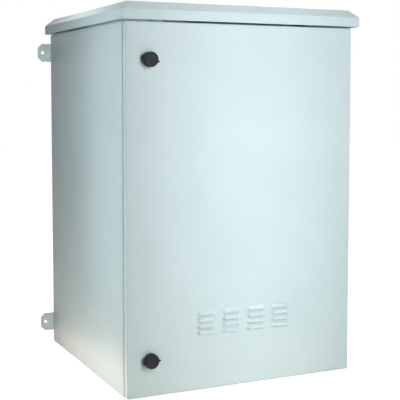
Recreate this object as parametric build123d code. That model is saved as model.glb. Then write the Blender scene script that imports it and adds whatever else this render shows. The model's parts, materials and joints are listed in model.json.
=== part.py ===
from build123d import *
import os
from math import cos, radians, sin

# Outdoor 19-inch server cabinet for wall mounting.
# Lengths are in millimetres. +Z is up and the door faces -Y.
# The origin is the centre of the base's underside, without the door.

# Values shared by many pieces
sheet = 1.5  # body, door and hood sheet
bend = 1.0  # inside radius of a fold
overrun = 5.0  # how far a cut runs past the piece it cuts
running = 0.05  # radial clearance of a turning pin
fit = 0.2  # radial clearance of a fastener or barrel in its hole
moving_gap = 0.4  # gap between pieces that turn past each other

# Body
body_width = 600.0
body_depth = 575.0
body_height = 867.0
front_flange = 30.0  # width of the flange round the door opening
sealing_lip = 13.0  # forward lip that meets the door gasket
rear_flange = 40.0

# Vent slots in the top plate
vent_slot_length = 90.0
vent_slot_width = 8.0
vent_slot_pitch = 24.0
vent_slot_rows = 6
vent_column_offset = 75.0  # from the centre plane to a column's middle

# Door
door_gap = 6.0  # between the body's front flange and the door's returns
door_return = 19.0  # depth of the door pan
door_bottom_gap = 2.0  # door edge above the base's underside
door_top_gap = 1.2  # door edge below the body's top

# Louvres pressed in the door
louvre_width = 48.0
louvre_height = 11.0
louvre_depth = 5.0  # how far the hood stands out of the door
louvre_wall = 1.1  # stretched sheet of the hood
louvre_knee_share = 0.82  # of the depth that is left half-way up
louvre_columns = 4
louvre_rows = 4
louvre_column_pitch = 66.5
louvre_row_pitch = 15.3
louvre_block_height = 163.2  # middle of the block above the base's underside

# Door gasket
gasket_width = 8.0
gasket_gap = 0.3  # between the gasket and the lip's tip

# Door stiffeners, hat sections on the door's inner face
stiffener_margin = 110.0  # from the door's top and bottom edge
stiffener_height = 12.0
stiffener_crown = 26.0
stiffener_foot = 12.0
stiffener_sheet = 1.2

# Filter behind the louvres
tray_margin = 14.0  # of the tray's inside beyond the louvre block
tray_depth = 13.0
tray_sheet = 1.0
tray_foot = 22.0
tray_bar = 10.0  # rim and bars round the tray's windows
tray_windows = 3

# Door locks
lock_inset = 57.0  # lock axis from the door's left edge
lock_edge_distance = 85.5  # lock axis from the door's top or bottom edge
upper_lock_roll = -14.0  # degrees that the housing and cover are turned about the lock axis
lower_lock_roll = 0.0
lock_radius = 17.5
lock_height = 7.5  # housing flange
barrel_width = 20.0  # square barrel through the door
plug_radius = 6.0
plug_recess = 0.8  # plug face below the housing's face
keyway_width = 1.6
keyway_length = 8.0
keyway_depth = 3.0
lock_clip_width = 32.0
lock_clip_height = 4.0
cam_thickness = 3.0
cam_width = 16.0
cam_corner = 4.0
cam_reach = 40.0  # from the lock axis to the cam's tip
cam_square = 7.0
cam_clearance = 0.5  # between the turned cam and the flange

# Dust cover of a lock
cover_thickness = 5.0
cover_axis_out = 16.5  # hinge axis from the lock axis
cover_knuckle_radius = 2.0
cover_knuckle_length = 8.0
cover_ear_length = 3.0
cover_pin_radius = 1.0
cover_nub_reach = 4.6  # beyond the cover's rim
cover_nub_root = 1.0  # inside the cover's rim
cover_nub_width = 6.0
cover_nub_tip_width = 3.0
cover_nub_height = 3.0

# Door hinges, hidden behind the door's right return
hinge_inset = 6.5  # hinge axis from the door's right side
hinge_forward = 9.5  # hinge axis ahead of the body's flange
hinge_edge_distance = 150.0  # hinge centre from the door's top or bottom edge
hinge_pin_radius = 2.5
hinge_ring_radius = 4.4
hinge_knuckle = 36.0  # height of the door's knuckle
hinge_tab = 8.0  # height of each frame tab
hinge_leaf = 3.0  # thickness of the frame leaf
hinge_neck_front = 3.0  # tab edge ahead of the axis
hinge_neck_back = 2.6  # tab edge behind the axis
hinge_tab_end = 3.4  # tab edge beyond the axis
hinge_door_leaf = 1.8

# Roof hood
hood_gap = 3.1  # air gap between the body's top and the fascia's lower edge
hood_side_overhang = 15.0
hood_front_overhang = 15.0  # beyond the door's face
hood_fascia = 22.0
hood_rise = 18.9
hood_inset = 20.2

# Roof bearers, hat sections between the top plate and the hood
bearer_inset = 110.0  # bearer's middle from the body's side
bearer_crown = 40.0
bearer_foot = 18.0
bearer_end_gap = 40.0  # bearer end inside the body's front and back

# Wall lugs
lug_thickness = 3.0
lug_height = 49.5
lug_reach = 36.0  # beyond the body's side
lug_base = 34.0  # width on the body's back
lug_corner = 11.0
lug_hole_out = 22.5  # hole centre beyond the body's side
lug_hole_radius = 4.6
lower_lug_height = 56.0  # hole of a lower lug above the base's underside
upper_lug_drop = 48.5  # hole of an upper lug below the body's top

# Rack rails to the 19-inch standard
rack_units = 18
rack_unit_height = 44.45
rack_unit_holes = 3
rack_hole_start = 6.35  # hole centre above a unit's lower limit
rack_hole_pitch = 15.875
rack_hole_width = 9.5  # square hole
rack_hole_inset = 17.45  # hole centre from the rail's outer face
rail_sheet = 2.0
rail_face_width = 25.0
rail_wall_gap = 50.0  # rail's outer face from the body's side
rail_leg = 34.0
rail_return = 12.0
rail_overlength = 6.0  # rail beyond the first and last unit
rail_setback = 75.0  # rail face behind the body's front flange

# Depth rails, Z sections from the side panels to the rack rails
depth_rail_sheet = 2.0
depth_rail_wall_leg = 28.0
depth_rail_inner_leg = 30.0
depth_rail_end_gap = 45.0  # rail end inside the body's front and back
depth_rail_edge_distance = 150.0  # web from the body's base and top
depth_slot_length = 60.0

# Cable entry in the base
entry_width = 260.0
entry_depth = 90.0
entry_back_gap = 45.0  # window edge from the body's back
gland_margin = 22.0  # gland plate beyond the window
gland_sheet = 2.0
gland_seal = 2.0
gland_seal_width = 8.0
cable_gap = 16.0  # between the two foam strips
foam_thickness = 14.0
foam_height = 22.0  # above the gland plate

# Fasteners
bolt_radius = 3.0
bolt_flats = 10.0
bolt_head = 4.0
nut_height = 5.0

# Places worked out from the sizes above
half_width = body_width / 2
half_depth = body_depth / 2
fold = bend + sheet  # outside radius of a fold
flange_front = -half_depth
flange_back = flange_front + sheet
door_back = flange_front - door_gap
door_front = door_back - door_return
door_inside = door_front + sheet
door_bottom = door_bottom_gap
door_top = body_height - door_top_gap
lip_tip = flange_front - sealing_lip
opening_side = half_width - front_flange
opening_bottom = front_flange
opening_top = body_height - front_flange
back_inside = half_depth - 2 * sheet
wall_plane = half_depth + lug_thickness
side_inside = half_width - sheet
hood_bottom = body_height + hood_gap
hood_top = hood_bottom + hood_fascia + hood_rise
lock_x = -half_width + lock_inset
upper_lock_z = door_top - lock_edge_distance
lower_lock_z = door_bottom + lock_edge_distance
hinge_x = half_width - hinge_inset
hinge_y = flange_front - hinge_forward
hinge_heights = (door_top - hinge_edge_distance, door_bottom + hinge_edge_distance)
rack_bottom = (body_height - rack_units * rack_unit_height) / 2
rack_top = rack_bottom + rack_units * rack_unit_height
rail_face = flange_front + rail_setback
rail_side = half_width - rail_wall_gap

nodes = {}


def block(x_low, x_high, y_low, y_high, z_low, z_high):
    """Box between two values along each axis."""
    size = Box(x_high - x_low, y_high - y_low, z_high - z_low)
    return Pos((x_low + x_high) / 2, (y_low + y_high) / 2, (z_low + z_high) / 2) * size


def folded(points, thickness, plane, length):
    """Sheet folded along points. It lies to the left of the path and runs along the plane's normal."""
    radii = []
    for before, here, after in zip(points, points[1:], points[2:]):
        along = (here[0] - before[0], here[1] - before[1])
        onward = (after[0] - here[0], after[1] - here[1])
        turns_left = along[0] * onward[1] - along[1] * onward[0] > 0
        radii.append(bend + thickness if turns_left else bend)
    path = FilletPolyline(*points, radius=radii)
    outline = path.offset_2d(thickness, side=Side.LEFT)
    return extrude(plane * make_face(outline), length)


def mirrored(shape):
    """The same piece on the other side of the cabinet's centre plane."""
    return mirror(shape, about=Plane.YZ)


def hexagon(flats, height):
    """Hexagonal prism standing on the local origin."""
    return extrude(RegularPolygon(flats / 2, 6, major_radius=False), height)


def rod(radius, length):
    """Round bar standing on the local origin."""
    return extrude(Circle(radius), length)


def one(shapes):
    """Separate solids kept together as one group."""
    return Compound([solid for shape in shapes for solid in shape.solids()])


# Body

lip_path = [
    (-half_width + rear_flange, half_depth),
    (-half_width, half_depth),
    (-half_width, flange_front),
    (-half_width + front_flange, flange_front),
    (-half_width + front_flange, lip_tip),
]
lip_start = opening_bottom + sheet
lip_end = opening_top - sheet


def side_panel():
    """Left side: rear flange, side, front flange, and the lip between the top's and the base's lips."""
    plain_path = lip_path[:-1]
    foot = folded(plain_path, sheet, Plane.XY, lip_start)
    middle = folded(lip_path, sheet, Plane.XY.offset(lip_start), lip_end - lip_start)
    head = folded(plain_path, sheet, Plane.XY.offset(lip_end), body_height - lip_end)
    return foot + middle + head


def end_plate(path, z_low):
    """Top or base: a plate between the sides with a front flange and a lip between the side flanges."""
    plane = Plane.YZ.offset(-opening_side)
    front = folded(path, sheet, plane, 2 * opening_side)
    plate = block(-side_inside, side_inside, flange_front + fold, back_inside, z_low, z_low + sheet)
    return front + plate


bearer_offset = half_width - bearer_inset
bearer_front = flange_front + bearer_end_gap
bearer_back = half_depth - bearer_end_gap

entry_back = half_depth - entry_back_gap
entry_front = entry_back - entry_depth
entry_middle = (entry_front + entry_back) / 2
gland_width = entry_width + 2 * gland_margin
gland_depth = entry_depth + 2 * gland_margin

top_path = [
    (back_inside, body_height),
    (flange_front, body_height),
    (flange_front, opening_top),
    (lip_tip, opening_top),
]
base_path = [
    (lip_tip, opening_bottom),
    (flange_front, opening_bottom),
    (flange_front, 0),
    (back_inside, 0),
]


def top_plate():
    """Top with two columns of vent slots under the hood."""
    plate = end_plate(top_path, body_height - sheet)
    slot = Box(vent_slot_length, vent_slot_width, 2 * overrun)
    middle_row = (vent_slot_rows - 1) / 2
    slots = [
        Pos(side * vent_column_offset, (row - middle_row) * vent_slot_pitch, body_height) * slot
        for side in (-1, 1)
        for row in range(vent_slot_rows)
    ]
    return plate - slots


def base_plate():
    """Base with the cable window near the back."""
    plate = end_plate(base_path, 0)
    return plate - Pos(0, entry_middle, 0) * Box(entry_width, entry_depth, 2 * overrun)


lug_heights = {"upper": body_height - upper_lug_drop, "lower": lower_lug_height}


def back_panel():
    """Flat back lying inside the rear flanges."""
    edge = half_width - fold
    return block(-edge, edge, back_inside, half_depth - sheet, 0, body_height)


left_side = side_panel()
nodes["left_side_panel"] = left_side
nodes["right_side_panel"] = mirrored(left_side)
nodes["back_panel"] = back_panel()
nodes["top_plate"] = top_plate()
nodes["base_plate"] = base_plate()


# Wall lugs


def wall_lug(height):
    """Left lug: a flat plate welded on the back, with clipped outer corners and one fixing hole."""
    outer = -half_width - lug_reach
    inner = -half_width + lug_base
    outline = Pos((outer + inner) / 2, height) * Rectangle(inner - outer, lug_height)
    outline = chamfer(outline.vertices().group_by(Axis.X)[0], lug_corner)
    outline -= Pos(-half_width - lug_hole_out, height) * Circle(lug_hole_radius)
    return extrude(Plane.XZ.offset(-half_depth) * outline, -lug_thickness)


for level, height in lug_heights.items():
    lug = wall_lug(height)
    nodes[f"wall_lug_{level}_left"] = lug
    nodes[f"wall_lug_{level}_right"] = mirrored(lug)


# Roof hood and bearers


def roof_hood():
    """Fascia, four slopes and a flat top, folded from one sheet and open below."""
    front = door_front - hood_front_overhang
    width = body_width + 2 * hood_side_overhang
    depth = wall_plane - front
    middle = Pos(0, (front + wall_plane) / 2, hood_bottom)
    skirt = Rectangle(width, depth)
    crown = Rectangle(width - 2 * hood_inset, depth - 2 * hood_inset)
    shell = extrude(skirt, hood_fascia)
    shell += loft([Pos(0, 0, hood_fascia) * skirt, Pos(0, 0, hood_fascia + hood_rise) * crown])
    return middle * offset(shell, -sheet, openings=shell.faces().sort_by(Axis.Z)[0])


def roof_bearer():
    """Left bearer: a hat section whose feet stand on the top plate and whose crown carries the hood."""
    crown_top = hood_top - sheet
    outer = bearer_crown / 2 + bearer_foot
    path = [
        (-bearer_offset + outer, body_height + sheet),
        (-bearer_offset + bearer_crown / 2, body_height + sheet),
        (-bearer_offset + bearer_crown / 2, crown_top),
        (-bearer_offset - bearer_crown / 2, crown_top),
        (-bearer_offset - bearer_crown / 2, body_height + sheet),
        (-bearer_offset - outer, body_height + sheet),
    ]
    length = bearer_back - bearer_front
    return folded(path, sheet, Plane.XZ.offset(-bearer_back), length)


bearer = roof_bearer()
nodes["roof_hood"] = roof_hood()
nodes["roof_bearer_left"] = bearer
nodes["roof_bearer_right"] = mirrored(bearer)


# Rack rails and depth rails

rail_bottom = rack_bottom - rail_overlength
rail_top = rack_top + rail_overlength
depth_rail_webs = {"upper": body_height - depth_rail_edge_distance, "lower": depth_rail_edge_distance}
rail_bolt_y = rail_face + rail_leg / 2
rail_bolt_z = {
    "upper": depth_rail_webs["upper"] - depth_rail_inner_leg / 2,
    "lower": depth_rail_webs["lower"] + depth_rail_inner_leg / 2,
}
depth_rail_side = rail_side + depth_rail_sheet


def rack_rail():
    """Left rail: a perforated face, a leg away from the face and a stiffening return."""
    path = [
        (-rail_side + rail_return, rail_face + rail_leg),
        (-rail_side, rail_face + rail_leg),
        (-rail_side, rail_face),
        (-rail_side + rail_face_width, rail_face),
    ]
    rail = folded(path, rail_sheet, Plane.XY.offset(rail_bottom), rail_top - rail_bottom)
    punch = Box(rack_hole_width, 2 * overrun, rack_hole_width)
    holes = [
        Pos(
            -rail_side + rack_hole_inset,
            rail_face,
            rack_bottom + unit * rack_unit_height + rack_hole_start + step * rack_hole_pitch,
        )
        * punch
        for unit in range(rack_units)
        for step in range(rack_unit_holes)
    ]
    side = 2 * bolt_radius
    bolt_punch = Box(2 * overrun, side, side)
    return rail - holes - [Pos(-rail_side, rail_bolt_y, z) * bolt_punch for z in rail_bolt_z.values()]


def depth_rail():
    """Upper left depth rail: a leg on the side panel, a web and a leg with a front and a rear slot."""
    web = depth_rail_webs["upper"]
    path = [
        (-side_inside, web + depth_rail_wall_leg),
        (-side_inside, web),
        (-depth_rail_side, web),
        (-depth_rail_side, web - depth_rail_inner_leg),
    ]
    rail_back = half_depth - depth_rail_end_gap
    length = body_depth - 2 * depth_rail_end_gap
    rail = folded(path, depth_rail_sheet, Plane.XZ.offset(-rail_back), length)
    slot = Box(2 * overrun, depth_slot_length, 2 * bolt_radius)
    return rail - [Pos(-depth_rail_side, y, rail_bolt_z["upper"]) * slot for y in (rail_bolt_y, -rail_bolt_y)]


upper_depth_rail = depth_rail()
depth_rails = {
    "upper": upper_depth_rail,
    "lower": mirror(upper_depth_rail, about=Plane.XY.offset(body_height / 2)),
}
for level, rail in depth_rails.items():
    nodes[f"depth_rail_{level}_left"] = rail
    nodes[f"depth_rail_{level}_right"] = mirrored(rail)

left_rail = rack_rail()
nodes["rack_rail_left"] = left_rail
nodes["rack_rail_right"] = mirrored(left_rail)

rail_grip = rail_sheet + depth_rail_sheet
rail_bolt = hexagon(bolt_flats, bolt_head)
rail_bolt += extrude(Rectangle(2 * bolt_radius, 2 * bolt_radius), -rail_grip)
rail_nut = hexagon(bolt_flats, -nut_height)
head_plane = Plane.YZ.offset(-rail_side + rail_sheet)
nut_plane = Plane.YZ.offset(-depth_rail_side)
left_rail_bolts = [head_plane * Pos(rail_bolt_y, z) * rail_bolt for z in rail_bolt_z.values()]
left_rail_nuts = [nut_plane * Pos(rail_bolt_y, z) * rail_nut for z in rail_bolt_z.values()]
nodes["rail_bolts"] = one(left_rail_bolts + [mirrored(bolt) for bolt in left_rail_bolts])
nodes["rail_nuts"] = one(left_rail_nuts + [mirrored(nut) for nut in left_rail_nuts])


# Cable entry

gland_bottom = sheet + gland_seal
gland_top = gland_bottom + gland_sheet
seal_outline = Rectangle(entry_width + 2 * gland_seal_width, entry_depth + 2 * gland_seal_width)
seal_outline -= Rectangle(entry_width, entry_depth)


def gland_plate(side):
    """Front or rear half of the gland plate, with an upstand along the cable gap that backs the foam."""
    inner = cable_gap / 2 + foam_thickness + gland_sheet
    far = gland_depth / 2
    path = [(-far, gland_top), (-inner, gland_top), (-inner, gland_top + foam_height)]
    half = folded(path[::-1], gland_sheet, Plane.YZ.offset(-gland_width / 2), gland_width)
    half = half if side < 0 else mirror(half, about=Plane.XZ)
    return Pos(0, entry_middle, 0) * half


def gland_foam(side):
    """Foam strip against the upstand. The cables are squeezed between the two strips."""
    half = gland_width / 2
    near = cable_gap / 2
    far = near + foam_thickness
    foam = block(-half, half, near, far, gland_bottom, gland_top + foam_height)
    foam = foam if side > 0 else mirror(foam, about=Plane.XZ)
    return Pos(0, entry_middle, 0) * foam


nodes["gland_seal"] = Pos(0, entry_middle, sheet) * extrude(seal_outline, gland_seal)
nodes["gland_plate_front"] = gland_plate(-1)
nodes["gland_plate_rear"] = gland_plate(1)
nodes["gland_foam"] = one([gland_foam(-1), gland_foam(1)])


# Door

louvre_span = louvre_width - 2 * louvre_depth  # length of the lip between the sloped ends
block_width = (louvre_columns - 1) * louvre_column_pitch + louvre_width
block_height = (louvre_rows - 1) * louvre_row_pitch + louvre_height
louvre_spots = [
    (
        (column - (louvre_columns - 1) / 2) * louvre_column_pitch,
        louvre_block_height - block_height / 2 + row * louvre_row_pitch,
    )
    for column in range(louvre_columns)
    for row in range(louvre_rows)
]


def louvre_form(depth, height):
    """Hood form on the door's face: a steep lip, a slope back to the sheet, and sloped ends."""
    outline = Polyline(
        (door_front, 0),
        (door_front - depth, 0),
        (door_front - louvre_knee_share * depth, height / 2),
        (door_front, height),
        close=True,
    )
    profile = make_face(outline)
    inside = louvre_span / 2
    outside = inside + depth
    form = extrude(Plane.YZ.offset(-outside) * profile, 2 * outside)
    plan = Polyline(
        (-outside, door_front),
        (outside, door_front),
        (inside, door_front - depth),
        (-inside, door_front - depth),
        close=True,
    )
    return form & extrude(make_face(plan), height)


def louvre_pocket(depth, height):
    """Air way under a hood, open below and through the sheet."""
    inside = door_inside + overrun
    outline = Polyline(
        (inside, 0),
        (door_front - depth, 0),
        (door_front - louvre_knee_share * depth, height / 2),
        (door_front, height),
        (inside, height),
        close=True,
    )
    return extrude(Plane.YZ.offset(-louvre_span / 2) * make_face(outline), louvre_span)


def door_panel():
    """Shallow pan with folded returns, the pressed louvres and two lock holes."""
    pan = block(-half_width, half_width, door_front, door_back, door_bottom, door_top)
    pan = fillet(pan.edges().group_by(Axis.Y)[0], fold)
    pan = offset(pan, -sheet, openings=pan.faces().sort_by(Axis.Y)[-1])
    hood = louvre_form(louvre_depth, louvre_height)
    pocket = louvre_pocket(louvre_depth - louvre_wall, louvre_height - sheet)
    pan = pan + [Pos(x, 0, z) * hood for x, z in louvre_spots]
    pan = pan - [Pos(x, 0, z) * pocket for x, z in louvre_spots]
    hole_width = barrel_width + 2 * fit
    hole = Box(hole_width, 2 * overrun, hole_width)
    return pan - [Pos(lock_x, door_front, z) * hole for z in (upper_lock_z, lower_lock_z)]


def door_gasket():
    """Foam ring on the door's inner face that meets the sealing lip."""
    x_middle = opening_side - sheet / 2
    width = 2 * x_middle + gasket_width
    height = opening_top - opening_bottom - sheet + gasket_width
    outer = Rectangle(width, height)
    inner = Rectangle(width - 2 * gasket_width, height - 2 * gasket_width)
    plane = Plane.XZ.offset(-door_inside)
    middle = Pos(0, (opening_top + opening_bottom) / 2)
    return extrude(plane * middle * (outer - inner), -(lip_tip - gasket_gap - door_inside))


def hat(middle, base, crown, foot, height, thickness, z_low, z_high):
    """Upright hat section on the door's inner face, its crown towards the inside of the cabinet."""
    outer = crown / 2 + foot
    path = [
        (middle + outer, base + thickness),
        (middle + crown / 2, base + thickness),
        (middle + crown / 2, base + height),
        (middle - crown / 2, base + height),
        (middle - crown / 2, base + thickness),
        (middle - outer, base + thickness),
    ]
    return folded(path, thickness, Plane.XY.offset(z_low), z_high - z_low)


def door_stiffener():
    """Left stiffener, welded on the door by its two feet."""
    low = door_bottom + stiffener_margin
    high = door_top - stiffener_margin
    return hat(
        -stiffener_offset,
        door_inside,
        stiffener_crown,
        stiffener_foot,
        stiffener_height,
        stiffener_sheet,
        low,
        high,
    )


tray_width = block_width + 2 * tray_margin + 2 * tray_sheet
tray_height = block_height + 2 * tray_margin + 2 * tray_sheet
tray_bottom = louvre_block_height - tray_height / 2
tray_top = tray_bottom + tray_height


def filter_tray():
    """Folded tray welded over the louvres: side walls with feet, a floor and a windowed back."""
    tray = hat(0, door_inside, tray_width, tray_foot, tray_depth, tray_sheet, tray_bottom, tray_top)
    half = tray_width / 2 - bend
    reach = door_inside + tray_depth - bend
    tray += block(-half, half, door_inside, reach, tray_bottom, tray_bottom + tray_sheet)
    window_pitch = (tray_width - tray_bar) / tray_windows
    window = Box(window_pitch - tray_bar, 2 * overrun, tray_height - 2 * tray_bar)
    back = door_inside + tray_depth
    for index in range(tray_windows):
        x = (index - (tray_windows - 1) / 2) * window_pitch
        tray -= Pos(x, back, louvre_block_height) * window
    return tray


def filter_mat():
    """Filter mat standing in the tray, which is open above."""
    x_edge = tray_width / 2 - tray_sheet - bend
    y_back = door_inside + tray_depth - tray_sheet
    return block(-x_edge, x_edge, door_inside, y_back, tray_bottom + tray_sheet, tray_top)


gasket_inside = opening_side - sheet / 2 - gasket_width / 2
stiffener_offset = (tray_width / 2 + tray_foot + gasket_inside) / 2
stiffener = door_stiffener()
nodes["door_panel"] = door_panel()
nodes["door_gasket"] = door_gasket()
nodes["door_stiffener_left"] = stiffener
nodes["door_stiffener_right"] = mirrored(stiffener)
nodes["filter_tray"] = filter_tray()
nodes["filter_mat"] = filter_mat()


# Hinges


def hinge_frame_leaf(height):
    """Leaf on the sealing lip with two tabs that hold the pin between them."""
    low = height - hinge_knuckle / 2 - moving_gap - hinge_tab
    high = height + hinge_knuckle / 2 + moving_gap + hinge_tab
    neck_low = hinge_y - hinge_neck_front
    neck_high = hinge_y + hinge_neck_back
    leaf = block(opening_side, opening_side + hinge_leaf, neck_low, flange_front - bend, low, high)
    for z in (low, high - hinge_tab):
        tab_end = hinge_x + hinge_tab_end
        leaf += block(opening_side + hinge_leaf, tab_end, neck_low, neck_high, z, z + hinge_tab)
    return leaf


def hinge_door_leaf_solid(height):
    """Leaf on the inner face of the door's right return, with the knuckle that turns on the pin."""
    low = height - hinge_knuckle / 2
    high = height + hinge_knuckle / 2
    front = door_inside + bend
    leaf = block(side_inside - hinge_door_leaf, side_inside, front, hinge_y + hinge_neck_back, low, high)
    leaf += Pos(hinge_x, hinge_y, low) * rod(hinge_ring_radius, hinge_knuckle)
    return leaf - Pos(hinge_x, hinge_y, low) * rod(hinge_pin_radius + running, hinge_knuckle)


def hinge_pin(height):
    """Pin through the knuckle, welded between the two tabs."""
    reach = hinge_knuckle / 2 + moving_gap
    return Pos(hinge_x, hinge_y, height - reach) * rod(hinge_pin_radius, 2 * reach)


nodes["hinge_frame_leaves"] = one([hinge_frame_leaf(height) for height in hinge_heights])
nodes["hinge_door_leaves"] = one([hinge_door_leaf_solid(height) for height in hinge_heights])
nodes["hinge_pins"] = one([hinge_pin(height) for height in hinge_heights])


# Locks, built with the lock axis along local Z: zero on the door's face and positive outwards

housing_top = lock_height
cam_front = -(flange_back + cam_clearance - door_front)
cam_back = cam_front - cam_thickness
barrel_end = cam_front + moving_gap
cover_bottom = housing_top + moving_gap
cover_axis_height = cover_bottom + cover_knuckle_radius + moving_gap
ear_inner = cover_knuckle_length / 2 + moving_gap
ear_outer = ear_inner + cover_ear_length
ear_top = cover_axis_height + cover_knuckle_radius
knuckle_clear = cover_knuckle_radius + 2 * moving_gap


def lock_housing(roll):
    """Barrel upright in the door, and a flange turned by the roll with two ears that hold the cover's pin."""
    lobe_edge = cover_axis_out + cover_knuckle_radius
    lobe = block(-lobe_edge, 0, -ear_outer, ear_outer, 0, lock_height)
    housing = rod(lock_radius, lock_height) + lobe
    for side in (-1, 1):
        ear_low = ear_inner if side > 0 else -ear_outer
        ear_high = ear_low + cover_ear_length
        stem_in = -cover_axis_out + cover_knuckle_radius
        housing += block(-lobe_edge, stem_in, ear_low, ear_high, 0, ear_top)
    barrel = extrude(Rectangle(barrel_width, barrel_width), -barrel_end)
    housing += Pos(0, 0, barrel_end) * Rot(0, 0, -roll) * barrel
    housing += cover_hinge_rod(cover_pin_radius, -ear_inner, ear_inner)
    return housing - Pos(0, 0, barrel_end) * rod(plug_radius + running, housing_top - barrel_end)


def cover_hinge_rod(radius, low, high):
    """Round bar along the cover's hinge axis."""
    return Pos(-cover_axis_out, low, cover_axis_height) * Rot(-90, 0, 0) * rod(radius, high - low)


def dust_cover():
    """Round cover with a thumb nub, a straight hinge side and a knuckle between the housing's ears."""
    disc = rod(lock_radius, cover_thickness)
    straight = -cover_axis_out + knuckle_clear
    outside = -lock_radius - overrun
    disc -= block(outside, straight, -lock_radius, lock_radius, -overrun, cover_thickness + overrun)
    rim = lock_radius - cover_nub_root
    tip = lock_radius + cover_nub_reach
    nub_outline = Polyline(
        (rim, -cover_nub_width / 2),
        (tip, -cover_nub_tip_width / 2),
        (tip, cover_nub_tip_width / 2),
        (rim, cover_nub_width / 2),
        close=True,
    )
    cover = Pos(0, 0, cover_bottom) * (disc + extrude(make_face(nub_outline), cover_nub_height))
    half = cover_knuckle_length / 2
    web_high = cover_axis_height + cover_knuckle_radius
    cover += cover_hinge_rod(cover_knuckle_radius, -half, half)
    cover += block(-cover_axis_out, straight, -half, half, cover_axis_height, web_high)
    return cover - cover_hinge_rod(cover_pin_radius + running, -half, half)


def lock_plug():
    """Turning plug with a keyway in its face and a square end for the cam."""
    face = housing_top - plug_recess
    plug = Pos(0, 0, cam_front) * rod(plug_radius, face - cam_front)
    plug += Pos(0, 0, cam_back) * extrude(Rectangle(cam_square, cam_square), cam_thickness)
    keyway = extrude(Rectangle(keyway_width, keyway_length), -keyway_depth)
    return plug - Pos(0, 0, face) * keyway


def lock_cam():
    """Flat cam with clipped corners and a square hole, hanging down when the door is unlocked."""
    length = cam_reach + cam_width / 2
    outline = Pos(0, cam_width / 2 - length / 2) * Rectangle(cam_width, length)
    outline = chamfer(outline.vertices(), cam_corner)
    outline -= Rectangle(cam_square, cam_square)
    return Pos(0, 0, cam_back) * extrude(outline, cam_thickness)


def lock_clip():
    """Square retaining plate pushed over the barrel behind the door."""
    outline = Rectangle(lock_clip_width, lock_clip_width) - Rectangle(barrel_width, barrel_width)
    return Pos(0, 0, -sheet) * extrude(outline, -lock_clip_height)


lock_levels = {"upper": (upper_lock_z, upper_lock_roll), "lower": (lower_lock_z, lower_lock_roll)}
lock_housings = []
lock_clips = []
for level, (height, roll) in lock_levels.items():
    upright = Plane((lock_x, door_front, height), x_dir=(1, 0, 0), z_dir=(0, -1, 0))
    rolled = Plane(
        (lock_x, door_front, height), x_dir=(cos(radians(roll)), 0, sin(radians(roll))), z_dir=(0, -1, 0)
    )
    nodes[f"dust_cover_{level}"] = rolled * dust_cover()
    nodes[f"lock_plug_{level}"] = upright * lock_plug()
    nodes[f"lock_cam_{level}"] = upright * lock_cam()
    lock_housings.append(rolled * lock_housing(roll))
    lock_clips.append(upright * lock_clip())
nodes["lock_housings"] = one(lock_housings)
nodes["lock_clips"] = one(lock_clips)


os.makedirs("parts", exist_ok=True)
for node_name, shape in nodes.items():
    export_step(shape, f"parts/{node_name}.step")
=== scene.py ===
"""Looks of a wall-hung outdoor server cabinet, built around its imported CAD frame.

Lengths are in metres. +Z is up, the door faces -Y and the origin is the centre of the base's underside.
"""

import json
import logging
import math
from dataclasses import dataclass, field
from enum import Enum

import bpy
import numpy as np
from mathutils import Matrix, Vector

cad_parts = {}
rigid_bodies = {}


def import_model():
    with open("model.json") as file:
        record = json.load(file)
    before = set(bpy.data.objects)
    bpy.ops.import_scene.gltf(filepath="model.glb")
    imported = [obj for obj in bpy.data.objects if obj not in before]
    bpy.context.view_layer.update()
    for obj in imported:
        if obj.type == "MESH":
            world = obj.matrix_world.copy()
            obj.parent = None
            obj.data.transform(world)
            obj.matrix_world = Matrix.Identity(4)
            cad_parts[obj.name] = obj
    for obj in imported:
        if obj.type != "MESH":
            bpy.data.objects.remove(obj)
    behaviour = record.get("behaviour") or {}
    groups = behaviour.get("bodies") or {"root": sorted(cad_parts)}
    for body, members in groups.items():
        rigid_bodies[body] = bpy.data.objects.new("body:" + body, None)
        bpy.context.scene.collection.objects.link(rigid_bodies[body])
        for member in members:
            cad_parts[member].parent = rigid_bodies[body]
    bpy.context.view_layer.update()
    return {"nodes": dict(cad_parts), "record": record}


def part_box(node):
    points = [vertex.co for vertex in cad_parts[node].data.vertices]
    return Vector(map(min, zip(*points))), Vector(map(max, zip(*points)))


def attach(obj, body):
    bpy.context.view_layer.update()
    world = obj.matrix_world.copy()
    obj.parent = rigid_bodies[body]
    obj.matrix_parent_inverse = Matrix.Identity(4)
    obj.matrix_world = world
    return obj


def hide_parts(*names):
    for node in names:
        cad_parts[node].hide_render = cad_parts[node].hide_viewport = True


LOG = logging.getLogger("cabinet")

DOOR_FRONT = -0.3125
LOCK_X = -0.243
UPPER_LOCK_Z = 0.7803
LOWER_LOCK_Z = 0.0875

NOISE_MIDDLE = (0.3, 0.7)  # part of a noise's range that holds most of its values
SHEET_SHARP_DEGREES = 60.0


class Body(Enum):
    """CAD bodies that pieces ride on."""

    CABINET = "cabinet"
    DOOR = "door"
    UPPER_COVER = "cover_upper"
    LOWER_COVER = "cover_lower"
    UPPER_LOCK = "lock_upper"
    LOWER_LOCK = "lock_lower"


class Slot(Enum):
    """Material slots of the record."""

    PAINT = "grey_paint"
    ZINC_SHEET = "zinc_sheet"
    ZINC_FASTENER = "zinc_fastener"
    PLASTIC = "black_plastic"
    LOCK_METAL = "lock_metal"
    RUBBER = "black_rubber"
    FOAM = "foam"


# Finishes


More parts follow.
